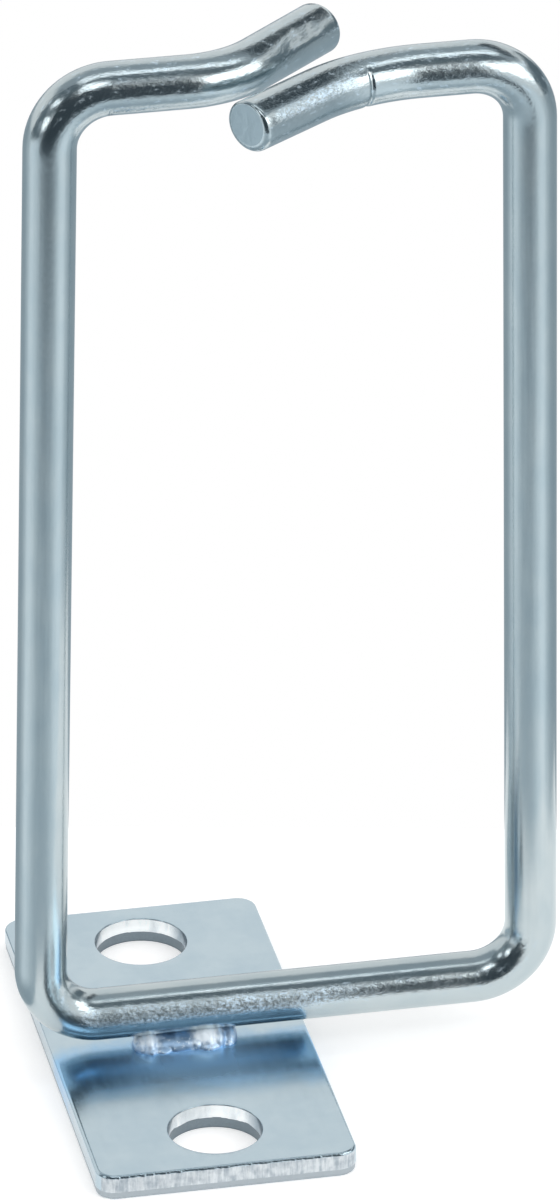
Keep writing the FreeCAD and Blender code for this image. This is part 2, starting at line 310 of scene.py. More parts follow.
def build_rod():
    rows = rod_path(ROD_STEP)
    total = rows[-1][3]
    lengths = np.array([row[3] for row in rows])

    def row_at(length):
        at, along, side, here = rows[int(np.argmin(np.abs(lengths - length)))]
        return at + along * (length - here), along, side

    marks = [RIGHT_CREASE._replace(place=total - RIGHT_CREASE.place), LEFT_MARK]
    rings = end_rings(0.0, 1.0, LEFT_WEAR) + side_rings(lengths, total, marks)
    rings += end_rings(total, -1.0, RIGHT_WEAR)[::-1]

    # Points in place, and the same points on the rod laid out straight
    points, straightened = [], []
    for length, radius in rings:
        length = np.broadcast_to(length, ROD_SIDES)
        mean = length.mean()
        at, along, side = row_at(float(mean))
        first, second = np.cos(ROD_ANGLES) * radius, np.sin(ROD_ANGLES) * radius
        around = np.outer(first, side) + np.outer(second, np.cross(along, side))
        points.append(at + around + np.outer(length - mean, along))
        straightened.append(np.column_stack([first, second, length]))
    points, straightened = np.vstack(points), np.vstack(straightened)

    # Shear marks sunk into the cut faces
    from_axis = np.hypot(straightened[:, 0], straightened[:, 1])
    for tip, inward in ((0.0, 1.0), (total, -1.0)):
        near = np.where(np.abs(straightened[:, 2] - tip) < TINY)[0]
        spots = [(x * PIT_STRETCH[0], y * PIT_STRETCH[1], tip) for x, y in straightened[near, :2]]
        depth = np.clip(PIT_DEPTH * (noise_at(spots, PIT_SCALE, PIT_SEED) + PIT_SHIFT), 0.0, PIT_LIMIT)
        depth = depth * (1.0 - smooth_step(*PIT_FADE, from_axis[near]))
        points[near] += np.outer(inward * depth, row_at(tip)[1])

    count = len(rings)
    faces = []
    for i in range(count - 1):
        here, there = i * ROD_SIDES, (i + 1) * ROD_SIDES
        for j in range(ROD_SIDES):
            k = (j + 1) % ROD_SIDES
            faces.append((here + j, here + k, there + k, there + j))
    faces.append(tuple(range(ROD_SIDES))[::-1])
    faces.append(tuple((count - 1) * ROD_SIDES + j for j in range(ROD_SIDES)))
    rod = link_mesh("ring_rod", points, faces)
    for face in rod.data.polygons:
        ring = min(face.vertices) // ROD_SIDES
        if ring < CAP_RINGS - 1 or ring >= count - CAP_RINGS or len(face.vertices) > 4:
            face.material_index = CUT_END

    coordinate = rod.data.attributes.new("rod_coordinate", "FLOAT_VECTOR", "POINT")
    coordinate.data.foreach_set("vector", straightened.astype(np.float32).ravel())
    zone = rod.data.attributes.new("rough_plating", "FLOAT", "POINT")
    zone.data.foreach_set("value", plating_roughness(points, straightened, total).astype(np.float32))
    return rod


# Plate: walls swept round the outline and the holes, closed by flat faces
PLATE_FACE, TORN_EDGE, SHEARED_EDGE, PUNCHED_BORE, TORN_BORE = range(5)
SIDE_SPACING = 0.5
END_SPACING = 0.065
BORE_SIDES = 132
WALL_MARGIN = 0.02
LEAST_HEIGHT = 0.005

# Sheared ends: rolled-over edge, burnished band, then a torn band below the break, as insets and heights
EDGE_RIM = 0.9
EDGE_BREAK = 0.62
EDGE_HEAD = 0.2
EDGE_ROLL_STEPS = 7
EDGE_ROLL_CLEAR = 0.05
EDGE_BURNISHED = (1.6, 1.5, 1.4, 1.3, 1.2, 1.1, 1.0, 0.9, 0.8, 0.72, 0.66)
EDGE_TORN = [(0.03, 0.58), (0.04, 0.45), (0.05, 0.32), (0.06, 0.2), (0.09, 0.1), (0.14, 0.03), (0.2, 0.0)]
END_FACING = 0.6
END_FADE = (0.6, 0.95)
# Streaks on the sheared ends: depth, shift, scale across and up, and seed
END_LINES = (0.05, 0.7, 4.6, 0.35, 3)
END_FINE = (0.022, 0.6, 9.0, 1.5, 5)
END_SWEEP = (0.04, 0.6, 0.9, 0.4, 7)
STREAK_INWARD = 0.05
STREAKS_WHERE_TORN = 0.25
TORN_SINK = 0.02
RAGGED_LIMIT = 0.2
RAGGED_FADE = 0.25

# Punched holes: rounded lip, burnished band, a break line that waves, then a torn band, as insets and
# heights; the lip's heights are counted down from the top
BORE_LIP = [(-1.0, 0.0), (-0.15, 0.0), (-0.115, 0.01), (-0.095, 0.04), (-0.09, 0.1)]
BORE_BURNISHED = [(-0.08, 1.75), (-0.06, 1.55), (-0.04, 1.35), (-0.02, 1.15)]
BORE_TORN = [(-0.05, 0.55), (-0.065, 0.4), (-0.08, 0.25), (-0.09, 0.12), (-0.10, 0.0), (-0.6, 0.0)]
BORE_WAIST = 0.95
BORE_WAIST_HEIGHTS = np.arange(1.11, 0.58, -0.04)
BORE_TAPER = 0.12
BORE_HEAD = 0.03
BORE_BREAK = 0.9
BORE_WAVE = 0.22
BORE_WAVE_SCALE = 0.55
BORE_TEAR = 0.03
BORE_TEAR_LIMIT = 0.06
BORE_TEAR_SHIFT = 0.5
BORE_TEAR_SCALE = 4.0
BORE_TEAR_SEED = 8


def rounded_rectangle(half_x, half_y, corner):
    """Points round the outline, with outward normals."""
    x, y = half_x - corner, half_y - corner
    centres = np.array(((x, -y), (x, y), (-x, y), (-x, -y)))
    steps = round(corner * math.pi / 2 / END_SPACING)
    points, normals = [], []
    for i, centre in enumerate(centres):
        start = 90 * (i - 1)
        for k in range(steps + 1):
            angle = math.radians(start + 90 * k / steps)
            normal = np.array((math.cos(angle), math.sin(angle)))
            points.append(centre + normal * corner)
            normals.append(normal)
        last, normal = points[-1], normals[-1]
        run = centres[(i + 1) % len(centres)] + normal * corner - last
        spacing = END_SPACING if abs(run[1]) < corner else SIDE_SPACING
        count = round(np.linalg.norm(run) / spacing)
        for k in range(1, count):
            points.append(last + run * k / count)
            normals.append(normal)
    return np.array(points), np.array(normals)


def add_wall(bm, outline, normals, profile, ragged, finish_at, outward):
    """Sweeps pairs of inset and height round a closed outline, and gives the first and last loops."""
    loops = []
    for inset, height in profile:
        base = outline - normals * (inset + ragged(outline, normals, height))[:, None]
        loops.append([bm.verts.new((x * MM, y * MM, height * MM)) for x, y in base])
    size = len(outline)
    for i in range(len(loops) - 1):
        middle = 0.5 * (profile[i][1] + profile[i + 1][1])
        for j in range(size):
            k = (j + 1) % size
            quad = (loops[i][j], loops[i + 1][j], loops[i + 1][k], loops[i][k])
            face = bm.faces.new(quad if outward else quad[::-1])
            face.smooth = True
            face.material_index = finish_at(outline[j], normals[j], middle)
    return loops[0], loops[-1]


def edge_profile():
    roll = PLATE_EDGE_ROUND
    profile = [(EDGE_RIM, PLATE_TOP), (roll + EDGE_ROLL_CLEAR, PLATE_TOP)]
    for turn in np.linspace(0, math.pi / 2, EDGE_ROLL_STEPS):
        profile.append((roll - roll * math.sin(turn), PLATE_TOP - roll + roll * math.cos(turn)))
    return profile + [(0.0, height) for height in EDGE_BURNISHED] + EDGE_TORN + [(EDGE_RIM, 0.0)]


def edge_finish(_place, normal, height):
    if WALL_MARGIN < height < EDGE_BREAK:
        return TORN_EDGE
    if EDGE_BREAK <= height < PLATE_TOP - EDGE_HEAD and abs(normal[1]) > END_FACING:
        return SHEARED_EDGE
    return PLATE_FACE


def streaked(points, height, depth, shift, across, up, seed):
    """Depth of upright streaks along the sheared ends."""
    spots = [(x * across, y * STREAK_INWARD, height * up) for x, y in points]
    return depth * (shift + noise_at(spots, 1.0, seed))


def ragged_ends(points, normals, height):
    """Depth of the marks on the sheared ends, fading out on the long sides."""
    if height > PLATE_TOP - WALL_MARGIN or height < LEAST_HEIGHT:
        return np.zeros(len(points))
    torn = height < EDGE_BREAK
    rough = streaked(points, height, *END_LINES) + streaked(points, height, *END_FINE)
    rough = rough * (STREAKS_WHERE_TORN if torn else 1.0)
    rough = rough + streaked(points, height, *END_SWEEP) + (TORN_SINK if torn else 0.0)
    fade = min(1.0, (PLATE_TOP - height) / RAGGED_FADE)
    return np.clip(rough, 0.0, RAGGED_LIMIT) * smooth_step(*END_FADE, np.abs(normals[:, 1])) * fade


def bore_profile():
    profile = [(inset, PLATE_TOP - drop) for inset, drop in BORE_LIP] + BORE_BURNISHED
    profile += [(-BORE_TAPER * abs(height - BORE_WAIST), height) for height in BORE_WAIST_HEIGHTS]
    return profile + BORE_TORN


def bore_finish(place, _normal, height):
    if not WALL_MARGIN < height < PLATE_TOP - BORE_HEAD:
        return PLATE_FACE
    wave = noise.noise(Vector((*place, 0.0)) * BORE_WAVE_SCALE)
    return TORN_BORE if height < BORE_BREAK + BORE_WAVE * wave else PUNCHED_BORE


def ragged_bore(points, _normals, height):
    """Depth of the torn band in a hole, as a negative inset."""
    if height > BORE_BREAK or height < LEAST_HEIGHT:
        return np.zeros(len(points))
    tears = noise_at([(x, y, height) for x, y in points], BORE_TEAR_SCALE, BORE_TEAR_SEED)
    return -np.clip(BORE_TEAR * (BORE_TEAR_SHIFT + tears), 0.0, BORE_TEAR_LIMIT)


def build_plate():
    bm = bmesh.new()
    outline, normals = rounded_rectangle(PLATE_HALF_WIDTH, PLATE_HALF_LENGTH, PLATE_CORNER)
    walls = [add_wall(bm, outline, normals, edge_profile(), ragged_ends, edge_finish, outward=True)]
    turn = np.linspace(0, 2 * math.pi, BORE_SIDES, endpoint=False)
    spokes = np.column_stack([np.cos(turn), np.sin(turn)])
    for hole_y in (HOLE_Y, -HOLE_Y):
        bore = np.array((0.0, hole_y)) + spokes * HOLE_RADIUS
        walls.append(add_wall(bm, bore, spokes, bore_profile(), ragged_bore, bore_finish, outward=False))

    # Flat faces between the outer loop and the two hole loops, on top and underneath
    for loops, upward in zip(zip(*walls), (True, False)):
        edges = []
        for loop in loops:
            for j in range(len(loop)):
                edges.append(bm.edges.get((loop[j], loop[(j + 1) % len(loop)])))
        made = bmesh.ops.triangle_fill(bm, use_beauty=True, use_dissolve=False, edges=edges)
        for item in made["geom"]:
            if isinstance(item, bmesh.types.BMFace):
                item.smooth = True
                item.normal_update()
                if (item.normal.z > 0) != upward:
                    item.normal_flip()
    bm.normal_update()
    mesh = bpy.data.meshes.new("plate_sheet")
    bm.to_mesh(mesh)
    bm.free()
    return link_object("plate_sheet", mesh)


# Weld: a run of overlapping drops, merged into one skin and cut to the rod and the plate
# Each drop is its place along the bar, across it and above the plate, then its three half-lengths
WELD_DROPS = [
    # core under the bar
    (0.2, -0.3, 0.0, 4.0, 1.8, 1.1),
    (2.4, 1.0, 0.2, 1.4, 1.5, 1.2),
    (-2.0, 1.0, 0.2, 1.3, 1.4, 1.1),
    # right-hand mass and its tail
    (1.9, -0.15, 0.0, 1.35, 2.05, 1.5),
    (1.0, -0.85, 0.0, 0.7, 1.35, 1.05),
    (2.8, -0.55, 0.0, 0.8, 1.6, 1.3),
    (3.7, -0.2, 0.0, 0.75, 1.7, 1.0),
    # left-hand mass and the thin run beside it
    (-2.55, -0.15, 0.0, 0.85, 1.95, 1.4),
    (-3.15, -0.7, 0.0, 0.6, 1.2, 0.9),
    (-1.5, -0.75, 0.0, 0.95, 1.6, 0.5),
    (-0.5, -0.4, 0.0, 1.7, 1.7, 1.1),
    # low toes spread over the plate
    (2.0, 0.1, 0.0, 1.65, 2.55, 0.72),
    (3.5, 0.2, 0.0, 0.9, 2.25, 0.55),
    (-2.5, 0.1, 0.0, 1.0, 2.45, 0.68),
    # small beads along the dip
    (-0.85, -1.68, 0.1, 0.26, 0.3, 0.32),
    (-0.35, -1.78, 0.1, 0.22, 0.26, 0.3),
    (0.1, -1.72, 0.1, 0.25, 0.28, 0.34),
    (0.5, -1.8, 0.1, 0.2, 0.26, 0.28),
]
DROP_SUBDIVISIONS = 4
WELD_VOXEL = 0.07
RELAX_FACTOR = 0.5
RELAX_STEPS = 12
WELD_SINK = 0.08
# Unevenness of the skin: height, then scale and seed of the noise
WELD_LUMPS = (0.12, 0.9, 2)
WELD_RIPPLES = (0.022, 2.1, 4)
WELD_BEADS = (0.004, 4.5, 9)
RIPPLE_STRETCH = np.array((1.0, 0.7, 0.7))


def merged_drops():
    """One closed skin round all the drops."""
    bm = bmesh.new()
    for x, y, z, half_x, half_y, half_z in WELD_DROPS:
        place = Matrix.Translation(Vector((x, y + RING_Y, z + PLATE_TOP)) * MM)
        stretch = Matrix.Diagonal((half_x * MM, half_y * MM, half_z * MM, 1))
        bmesh.ops.create_icosphere(bm, subdivisions=DROP_SUBDIVISIONS, radius=1.0, matrix=place @ stretch)
    mesh = bpy.data.meshes.new("weld_drops")
    bm.to_mesh(mesh)
    bm.free()
    drops = link_object("weld_drops", mesh)
    merge = drops.modifiers.new("merge", "REMESH")
    merge.mode = "VOXEL"
    merge.voxel_size = WELD_VOXEL * MM
    relax = drops.modifiers.new("relax", "SMOOTH")
    relax.factor = RELAX_FACTOR
    relax.iterations = RELAX_STEPS
    depsgraph = bpy.context.evaluated_depsgraph_get()
    skin = bpy.data.meshes.new_from_object(drops.evaluated_get(depsgraph))
    bpy.data.objects.remove(drops)
    return skin


def roughened(points, height, scale, seed):
    return height * noise_at(points, scale, seed)


def build_weld():
    skin = merged_drops()
    points = np.zeros(len(skin.vertices) * 3)
    normals = np.zeros(len(skin.vertices) * 3)
    skin.vertices.foreach_get("co", points)
    skin.vertices.foreach_get("normal", normals)
    points = points.reshape(-1, 3) / MM
    normals = normals.reshape(-1, 3)
    raised = roughened(points, *WELD_LUMPS) + roughened(points * RIPPLE_STRETCH, *WELD_RIPPLES)
    raised = raised + roughened(points, *WELD_BEADS)
    points = points + normals * raised[:, None]

    # The skin keeps just inside the rod and the plate, so no slit shows along the weld
    reach = ROD_RADIUS - WELD_SINK
    offset = points - np.array((0.0, RING_Y, BAR_Z))
    radius = np.hypot(offset[:, 1], offset[:, 2])
    inside = radius < reach
    push = reach / np.maximum(radius, TINY)
    points[inside, 1] = RING_Y + offset[inside, 1] * push[inside]
    points[inside, 2] = BAR_Z + offset[inside, 2] * push[inside]
    points[:, 2] = np.maximum(points[:, 2], PLATE_TOP - WELD_SINK)

    skin.vertices.foreach_set("co", (points * MM).ravel())
    skin.name = "weld_run"
    skin.polygons.foreach_set("use_smooth", [True] * len(skin.polygons))
    skin.materials.clear()
    skin.update()
    return link_object("weld_run", skin)


# Helpers for the materials
SHARE = (0.0, 1.0)
FALLING = (1.0, 0.0)
Pattern = namedtuple("Pattern", "stretch scale detail rough")


def opaque(colour):
    """A colour with full alpha; a socket is passed on as it is."""
    return (*colour, 1.0) if isinstance(colour, tuple) else colour


class Graph:
    """Shader nodes of one material or world, with short ways to add the kinds used here."""

    def __init__(self, tree):
        self.nodes = tree.nodes
        self.links = tree.links
        self.nodes.clear()

    def add(self, kind, inputs=None, **fields):
        """Adds a node, sets its fields, and sets or links its inputs by name or number."""
        made = self.nodes.new(kind)
        for field, value in fields.items():
            setattr(made, field, value)
        for key, value in (inputs or {}).items():
            if isinstance(value, bpy.types.NodeSocket):
                self.links.new(value, made.inputs[key])
            else:
                made.inputs[key].default_value = value
        return made

    def math(self, operation, first, second=0.0):
        return self.add("ShaderNodeMath", {0: first, 1: second}, operation=operation).outputs[0]

    def product(self, first, second):
        return self.math("MULTIPLY", first, second)

    def total(self, first, second):
        return self.math("ADD", first, second)

    def larger(self, first, second):
        return self.math("MAXIMUM", first, second)

    def ramp(self, value, span, to=SHARE, slope="LINEAR"):
        """Takes the values in one span to those in another, and no further."""
        inputs = {0: value, 1: span[0], 2: span[1], 3: to[0], 4: to[1]}
        return self.add("ShaderNodeMapRange", inputs, clamp=True, interpolation_type=slope).outputs[0]

    def vector_math(self, operation, first, *second):
        inputs = dict(enumerate((first, *second)))
        return self.add("ShaderNodeVectorMath", inputs, operation=operation).outputs

    def stretched(self, vector, factors):
        return self.vector_math("MULTIPLY", vector, factors)["Vector"]

    def parts(self, vector):
        return self.add("ShaderNodeSeparateXYZ", {0: vector}).outputs

    def cloud(self, vector, pattern):
        """Noise in one of the patterns below."""
        inputs = {"Vector": self.stretched(vector, pattern.stretch), "Scale": pattern.scale,
                  "Detail": pattern.detail, "Roughness": pattern.rough}
        return self.add("ShaderNodeTexNoise", inputs).outputs["Fac"]

    def blend(self, factor, first, second):
        """Blends two colours."""
        inputs = {0: factor, 6: opaque(first), 7: opaque(second)}
        return self.add("ShaderNodeMix", inputs, data_type="RGBA").outputs[2]

    def attribute(self, name, output):
        return self.add("ShaderNodeAttribute", attribute_name=name).outputs[output]

    def object_place(self):
        return self.add("ShaderNodeTexCoord").outputs["Object"]

    def place_mm(self):
        return self.stretched(self.object_place(), (1.0 / MM, 1.0 / MM, 1.0 / MM))

    def surface(self, shader):
        self.add("ShaderNodeOutputMaterial", {"Surface": shader.outputs[0]})

    def metal(self, colour, metallic, roughness, height, bump_mm, strength):
        """Metal with fine bumps, as the material's surface."""
        bump = self.add("ShaderNodeBump", {"Strength": strength, "Distance": bump_mm * MM, "Height": height})
        inputs = {"Base Color": colour, "Metallic": metallic, "Roughness": roughness,
                  "Normal": bump.outputs[0]}
        self.surface(self.add("ShaderNodeBsdfPrincipled", inputs))


def new_material(name):
    material = bpy.data.materials.new(name)
    material.use_nodes = True
    return material, Graph(material.node_tree)


# Colours of the zinc plating, from the darker to the lighter patches
ROD_COLOURS = ((0.455, 0.532, 0.56), (0.505, 0.572, 0.59))
# Pale colour of the painted sparkle on the rod's rough plating and its flecks
PAINTED_SPARKLE_COLOUR = (0.68, 0.86, 1.0)
PLATE_COLOURS = ((0.455, 0.565, 0.63), (0.505, 0.61, 0.665))
# Blue of the painted reflection in the plate in front of the bar
REFLECTION_TINT_COLOUR = (0.33, 0.56, 0.79)
CUT_END_COLOURS = ((0.40, 0.50, 0.54), (0.54, 0.64, 0.69))
TORN_EDGE_COLOURS = ((0.36, 0.41, 0.45), (0.52, 0.57, 0.60))
TORN_BORE_COLOURS = ((0.15, 0.19, 0.22), (0.32, 0.38, 0.42))
SHEARED_COLOURS = ((0.37, 0.43, 0.48), (0.74, 0.79, 0.82))
# Hole walls, from the painted shade at their sides to the bright burnished metal
PUNCHED_SHADE_TO_BRIGHT_COLOURS = ((0.36, 0.44, 0.50), (0.95, 0.99, 1.0))
# Weld, from its painted shade to its painted highlights
WELD_SHADE_TO_HIGHLIGHT_COLOURS = ((0.40, 0.58, 0.80), (0.86, 0.94, 1.0))

# Patterns of noise: stretch in the three directions, scale, detail and roughness
EVEN = (1.0, 1.0, 1.0)
ROD_STREAKS = Pattern((3.4, 3.4, 0.12), 1.0, 3.0, 0.6)
ROD_GRAIN = Pattern((1.0, 1.0, 0.5), 3.6, 4.0, 0.62)
ROD_PATCHES = Pattern((1.0, 1.0, 0.4), 0.6, 3.0, 0.55)
# Noise of the rod's painted sparkle
ROD_SPECKS = Pattern((1.0, 1.0, 0.8), 5.0, 4.0, 0.7)
ROD_FLECKS = Pattern((1.0, 1.0, 0.45), 3.0, 5.0, 0.7)
PLATE_ROLLED = Pattern((2.4, 0.12, 1.0), 1.0, 3.0, 0.55)
PLATE_GRAIN = Pattern(EVEN, 4.0, 3.0, 0.6)
PLATE_PATCHES = Pattern(EVEN, 0.25, 3.0, 0.55)
TORN_GRAIN = Pattern(EVEN, 7.0, 4.0, 0.65)
PUNCHED_LINES = Pattern((5.0, 5.0, 0.4), 1.0, 3.0, 0.6)
PUNCHED_PATCHES = Pattern((0.7, 0.7, 0.3), 1.0, 2.0, 0.5)
SHEARED_LINES = Pattern((5.0, 5.0, 0.5), 1.0, 3.0, 0.6)
SHEARED_PATCHES = Pattern((1.4, 1.4, 1.4), 1.0, 3.0, 0.55)
WELD_GRAIN = Pattern(EVEN, 3.5, 4.0, 0.6)
WELD_PATCHES = Pattern(EVEN, 0.9, 3.0, 0.5)
NOISE_SPAN = (0.35, 0.65)
WIDE_SPAN = (0.3, 0.7)

# Rod: where the painted sparkle of specks and flecks turns pale, by the noise and by the rough zone, and how
# dull each zone is
SPECK_SPAN = (0.44, 0.58)
CRUST_PATCH_SPAN = (0.36, 0.58)
CRUST_PATCH_SHARE = (0.3, 1.0)
CRUST_ZONE = (0.5, 0.95)
CRUST_METALLIC = (1.0, 0.35)
CRUST_DULL = (0.12, 0.30)
FLECK_SPAN = (0.56, 0.68)
FLECK_SHARE = (0.0, 0.55)
FLECK_ZONE = (0.2, 0.42)
POST_TO_ARM = (0.07, 0.4)
POST_TO_ARM_DULL = (0.19, 0.13)
STREAK_DULL = (0.0, 0.06)
STREAK_HEIGHT = 0.08

# Plate: painted blue reflection of the bar in front of the weld, by place across the plate, with a paler,
# less metallic patch of painted glow by place along the bar
TINT_FRONT = (-10.0, -6.0)
TINT_BACK = (-2.5, 0.5)
TINT_WAVE = (-1.0, 1.0)
TINT_METALLIC = (1.0, 0.95)
GLOW_MIDDLE = 0.8
GLOW_FADE = (2.5, 7.5)
GLOW_METALLIC_LOSS = (0.0, 0.25)
UNEVEN_SPAN = (0.7, 1.3)
PLATE_DULL = (0.14, 0.24)

# Edges and holes; the holes' walls get painted shade at their sides, by distance from the plate's middle line
TORN_DULL = (0.38, 0.55)
BRIGHT_SPAN = (0.38, 0.54)
BRIGHT_SHARE = (0.6, 1.0)
SHADED_SIDES = (3.2, 3.9)
PUNCHED_DULL = (0.16, 0.24)
SHEARED_SPAN = (0.75, 1.2)
SHEARED_METALLIC = 0.55
SHEARED_DULL = (0.30, 0.48)

# Weld: painted highlights on the lumps by place along the bar and by height, painted shade in the dip and low
# down, and painted glints
PALE_WANDER = (-0.6, 0.6)
PALE_RIGHT = (0.3, 1.1)
PALE_RIGHT_STOP = (2.6, 3.3)
PALE_RIGHT_TAIL = (1.0, 0.3)
PALE_LEFT = (-1.2, -2.0)
PALE_LEFT_SHARE = (0.0, 0.85)
PALE_CLIMB = (-0.2, 0.2)
PALE_HEIGHT = (2.15, 2.75)
PALE_HEIGHT_SHARE = (0.1, 1.0)
# Painted glints on the weld
WELD_GLINT_SPAN = (0.56, 0.64)
WELD_GLINT_SHARE = (0.0, 0.7)
WELD_METALLIC = (0.95, 0.25)
WELD_DULL = (0.34, 0.50)


def rod_material():
    material, graph = new_material("zinc_rod")
    place = graph.attribute("rod_coordinate", "Vector")
    zone = graph.attribute("rough_plating", "Fac")
    streaks = graph.cloud(place, ROD_STREAKS)
    grain = graph.cloud(place, ROD_GRAIN)
    patches = graph.cloud(place, ROD_PATCHES)
    plain = graph.blend(graph.ramp(patches, NOISE_SPAN), *ROD_COLOURS)
    # Painted sparkle: pale broken specks where the plating is rough, and sparse pale flecks where it is less
    # so
    specks = graph.ramp(graph.cloud(place, ROD_SPECKS), SPECK_SPAN)
    broken = graph.product(specks, graph.ramp(patches, CRUST_PATCH_SPAN, CRUST_PATCH_SHARE))
    crust_sparkle = graph.product(broken, graph.ramp(zone, CRUST_ZONE))
    fleck_sparkle = graph.ramp(graph.cloud(place, ROD_FLECKS), FLECK_SPAN, FLECK_SHARE)
    pale = graph.larger(crust_sparkle, graph.product(fleck_sparkle, graph.ramp(zone, FLECK_ZONE)))
    # The painted sparkle is blended into the plating colour and made less metallic
    colour = graph.blend(pale, plain, PAINTED_SPARKLE_COLOUR)
    metallic = graph.ramp(pale, SHARE, CRUST_METALLIC)
    # The posts are a little duller than the arms, and the crust is dullest
    smooth = graph.ramp(zone, POST_TO_ARM, POST_TO_ARM_DULL)
    dull = graph.larger(smooth, graph.ramp(zone, CRUST_ZONE, CRUST_DULL))
    roughness = graph.total(dull, graph.ramp(streaks, NOISE_SPAN, STREAK_DULL))
    height = graph.total(graph.product(grain, zone), graph.product(streaks, STREAK_HEIGHT))
    graph.metal(colour, metallic, roughness, height, bump_mm=0.055, strength=1.0)
    return material


def plate_material():
    material, graph = new_material("zinc_plate")
    place = graph.place_mm()
    patches = graph.cloud(place, PLATE_PATCHES)
    plain = graph.blend(graph.ramp(patches, NOISE_SPAN), *PLATE_COLOURS)
    # Painted blue colour of the bar's reflection in the plate along the weld, with a paler patch of painted
    # glow in front of it
    along, across, _ = graph.parts(place)
    wavy = graph.total(across, graph.ramp(patches, WIDE_SPAN, TINT_WAVE))
    reflection_tint = graph.product(graph.ramp(wavy, TINT_FRONT, SHARE, "SMOOTHSTEP"),
                         graph.ramp(wavy, TINT_BACK, FALLING, "SMOOTHSTEP"))
    beside = graph.math("ABSOLUTE", graph.math("SUBTRACT", along, GLOW_MIDDLE))
    reflection_glow = graph.product(reflection_tint, graph.ramp(beside, GLOW_FADE, FALLING))
    # Painted reflection colour and painted glow on the plate
    colour = graph.blend(reflection_tint, plain, REFLECTION_TINT_COLOUR)
    metallic = graph.math("SUBTRACT", graph.ramp(reflection_tint, SHARE, TINT_METALLIC),
                          graph.ramp(reflection_glow, SHARE, GLOW_METALLIC_LOSS))
    uneven = graph.total(graph.cloud(place, PLATE_ROLLED), graph.cloud(place, PLATE_GRAIN))
    roughness = graph.ramp(uneven, UNEVEN_SPAN, PLATE_DULL)
    graph.metal(colour, metallic, roughness, uneven, bump_mm=0.006, strength=0.3)
    return material


def torn_material(name, colours):
    material, graph = new_material(name)
    grain = graph.cloud(graph.place_mm(), TORN_GRAIN)
    roughness = graph.ramp(grain, NOISE_SPAN, TORN_DULL)
    graph.metal(graph.blend(grain, *colours), 1.0, roughness, grain, bump_mm=0.03, strength=0.6)
    return material


def punched_material():
    material, graph = new_material("zinc_punched_wall")
    place = graph.place_mm()
    lines = graph.cloud(place, PUNCHED_LINES)
    patches = graph.cloud(place, PUNCHED_PATCHES)
    # Painted shade, darker towards the two sides of each hole
    beside = graph.total(graph.math("ABSOLUTE", graph.parts(place)["X"]), patches)
    bright = graph.product(graph.ramp(patches, BRIGHT_SPAN, BRIGHT_SHARE),
                           graph.ramp(beside, SHADED_SIDES, FALLING))
    roughness = graph.ramp(lines, NOISE_SPAN, PUNCHED_DULL)
    graph.metal(graph.blend(bright, *PUNCHED_SHADE_TO_BRIGHT_COLOURS), 1.0, roughness, lines, bump_mm=0.004, strength=0.3)
    return material


def sheared_material():
    material, graph = new_material("zinc_sheared_edge")
    place = graph.place_mm()
    lines = graph.cloud(place, SHEARED_LINES)
    light = graph.ramp(graph.total(lines, graph.cloud(place, SHEARED_PATCHES)), SHEARED_SPAN)
    colour = graph.blend(light, *SHEARED_COLOURS)
    roughness = graph.ramp(lines, NOISE_SPAN, SHEARED_DULL)
    graph.metal(colour, SHEARED_METALLIC, roughness, lines, bump_mm=0.03, strength=0.8)
    return material


def weld_material():
    material, graph = new_material("zinc_weld")
    place = graph.place_mm()
    grain = graph.cloud(place, WELD_GRAIN)
    patches = graph.cloud(place, WELD_PATCHES)
    # Painted highlights on the two lumps of the run, painted shade in the dip between them and along the toes
    along, _, above = graph.parts(place)
    wander = graph.total(along, graph.ramp(patches, WIDE_SPAN, PALE_WANDER))
    tail = graph.ramp(wander, PALE_RIGHT_STOP, PALE_RIGHT_TAIL)
    right = graph.product(graph.ramp(wander, PALE_RIGHT), tail)
    left = graph.ramp(wander, PALE_LEFT, PALE_LEFT_SHARE)
    climb = graph.total(above, graph.ramp(grain, NOISE_SPAN, PALE_CLIMB))
    lump_highlights = graph.product(graph.larger(right, left), graph.ramp(climb, PALE_HEIGHT, PALE_HEIGHT_SHARE))
    pale = graph.larger(lump_highlights, graph.ramp(grain, WELD_GLINT_SPAN, WELD_GLINT_SHARE))
    # Weld colour from painted shade to painted highlight
    colour = graph.blend(pale, *WELD_SHADE_TO_HIGHLIGHT_COLOURS)
    metallic = graph.ramp(pale, SHARE, WELD_METALLIC)
    roughness = graph.ramp(grain, NOISE_SPAN, WELD_DULL)
    graph.metal(colour, metallic, roughness, grain, bump_mm=0.012, strength=0.3)
    return material


# Pieces, with their materials in the order of the face numbers above
rod = build_rod()
plate = build_plate()
weld = build_weld()
rod.data.materials.append(rod_material())
rod.data.materials.append(torn_material("zinc_cut_end", CUT_END_COLOURS))
plate.data.materials.append(plate_material())
plate.data.materials.append(torn_material("zinc_torn_edge", TORN_EDGE_COLOURS))
plate.data.materials.append(sheared_material())
plate.data.materials.append(punched_material())
plate.data.materials.append(torn_material("zinc_torn_bore", TORN_BORE_COLOURS))
weld.data.materials.append(weld_material())
for piece, node, slot in (
    (rod, "wire_ring", "rod"),
    (plate, "base_plate", "plate"),
    (weld, "weld_bead", "weld"),
):
    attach(piece, "root")
    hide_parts(node)


